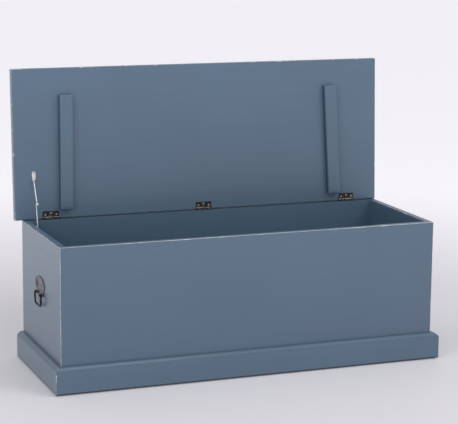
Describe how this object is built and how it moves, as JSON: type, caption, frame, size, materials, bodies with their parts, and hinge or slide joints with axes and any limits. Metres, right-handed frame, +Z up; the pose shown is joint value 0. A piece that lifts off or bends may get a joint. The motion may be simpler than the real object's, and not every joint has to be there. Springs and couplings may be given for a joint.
{
  "type": "wooden toy box",
  "caption": "Painted wooden toy box on a mitred plinth, with a battened lid that stands open on butt hinges and a folding stay, and drop handles on its ends.",
  "frame": {"origin": "centre of the bounding box's footprint, on the floor, with the lid standing open", "axes": "+X along the box's length towards its right end seen from the front, +Y from the front towards the hinged back, +Z up"},
  "size_m": [1.2, 0.4863, 0.8692],
  "materials": {
    "painted_wood": "blue-grey eggshell paint, brushed by hand, rubbed through on the edges",
    "hinge_bronze": "dark antique bronze, rubbed bright on the knuckles",
    "screw_steel": "bright countersunk heads",
    "stay_nickel": "nickel plate",
    "handle_iron": "dark aged iron"
  },
  "bodies": {
    "chest": {"back_panel": "painted_wood", "bottom_panel": "painted_wood", "cleat_back": "painted_wood", "cleat_front": "painted_wood", "front_panel": "painted_wood", "left_panel": "painted_wood", "right_panel": "painted_wood", "plinth_front": "painted_wood", "plinth_left": "painted_wood", "plinth_right": "painted_wood", "hinge_left_box_leaf": "hinge_bronze", "hinge_left_pin": "hinge_bronze", "hinge_middle_box_leaf": "hinge_bronze", "hinge_middle_pin": "hinge_bronze", "hinge_right_box_leaf": "hinge_bronze", "hinge_right_pin": "hinge_bronze", "stay_box_bracket": "stay_nickel", "stay_box_rivet": "stay_nickel", "stay_box_screw_1": "screw_steel", "stay_box_screw_2": "screw_steel", "handle_left_backplate": "handle_iron", "handle_left_screw_1": "screw_steel", "handle_left_screw_2": "screw_steel", "handle_right_backplate": "handle_iron", "handle_right_screw_1": "screw_steel", "handle_right_screw_2": "screw_steel", "hinge_left_box_screw_1": "screw_steel", "hinge_left_box_screw_2": "screw_steel", "hinge_left_box_screw_3": "screw_steel", "hinge_middle_box_screw_1": "screw_steel", "hinge_middle_box_screw_2": "screw_steel", "hinge_middle_box_screw_3": "screw_steel", "hinge_right_box_screw_1": "screw_steel", "hinge_right_box_screw_2": "screw_steel", "hinge_right_box_screw_3": "screw_steel"},
    "lid": {"lid_panel": "painted_wood", "lid_batten_left": "painted_wood", "lid_batten_right": "painted_wood", "hinge_left_lid_leaf": "hinge_bronze", "hinge_middle_lid_leaf": "hinge_bronze", "hinge_right_lid_leaf": "hinge_bronze", "stay_lid_bracket": "stay_nickel", "stay_lid_rivet": "stay_nickel", "stay_lid_screw_1": "screw_steel", "stay_lid_screw_2": "screw_steel", "hinge_left_lid_screw_1": "screw_steel", "hinge_left_lid_screw_2": "screw_steel", "hinge_left_lid_screw_3": "screw_steel", "hinge_middle_lid_screw_1": "screw_steel", "hinge_middle_lid_screw_2": "screw_steel", "hinge_middle_lid_screw_3": "screw_steel", "hinge_right_lid_screw_1": "screw_steel", "hinge_right_lid_screw_2": "screw_steel", "hinge_right_lid_screw_3": "screw_steel"},
    "stay_upper": {"stay_upper_arm": "stay_nickel", "stay_elbow_rivet": "stay_nickel"},
    "stay_lower": {"stay_lower_arm": "stay_nickel"},
    "left_bail": {"handle_left_bail": "handle_iron"},
    "right_bail": {"handle_right_bail": "handle_iron"}
  },
  "joints": [
    {"name": "lid_hinge", "type": "hinge", "parent": "chest", "child": "lid", "pos_m": [0, 0.19477, 0.4231], "axis": [1, 0, 0], "range_deg": [0, 93.8]},
    {"name": "stay_upper_pivot", "type": "hinge", "parent": "lid", "child": "stay_upper", "pos_m": [-0.5427, 0.1971, 0.54214], "axis": [1, 0, 0], "range_deg": [-106, 0]},
    {"name": "stay_lower_pivot", "type": "hinge", "parent": "chest", "child": "stay_lower", "pos_m": [-0.545, 0.13677, 0.36], "axis": [1, 0, 0], "range_deg": [0, 103.7]},
    {"name": "left_handle_swing", "type": "hinge", "parent": "chest", "child": "left_bail", "pos_m": [-0.5875, -0.00823, 0.243], "axis": [0, 1, 0], "range_deg": [-8, 100]},
    {"name": "right_handle_swing", "type": "hinge", "parent": "chest", "child": "right_bail", "pos_m": [0.5875, -0.00823, 0.243], "axis": [0, -1, 0], "range_deg": [-8, 100]}
  ],
  "couplings": [
    {"joint": "stay_upper_pivot", "follows": "lid_hinge", "ratio": -1.1286},
    {"joint": "stay_lower_pivot", "follows": "lid_hinge", "ratio": 1.1035}
  ]
}
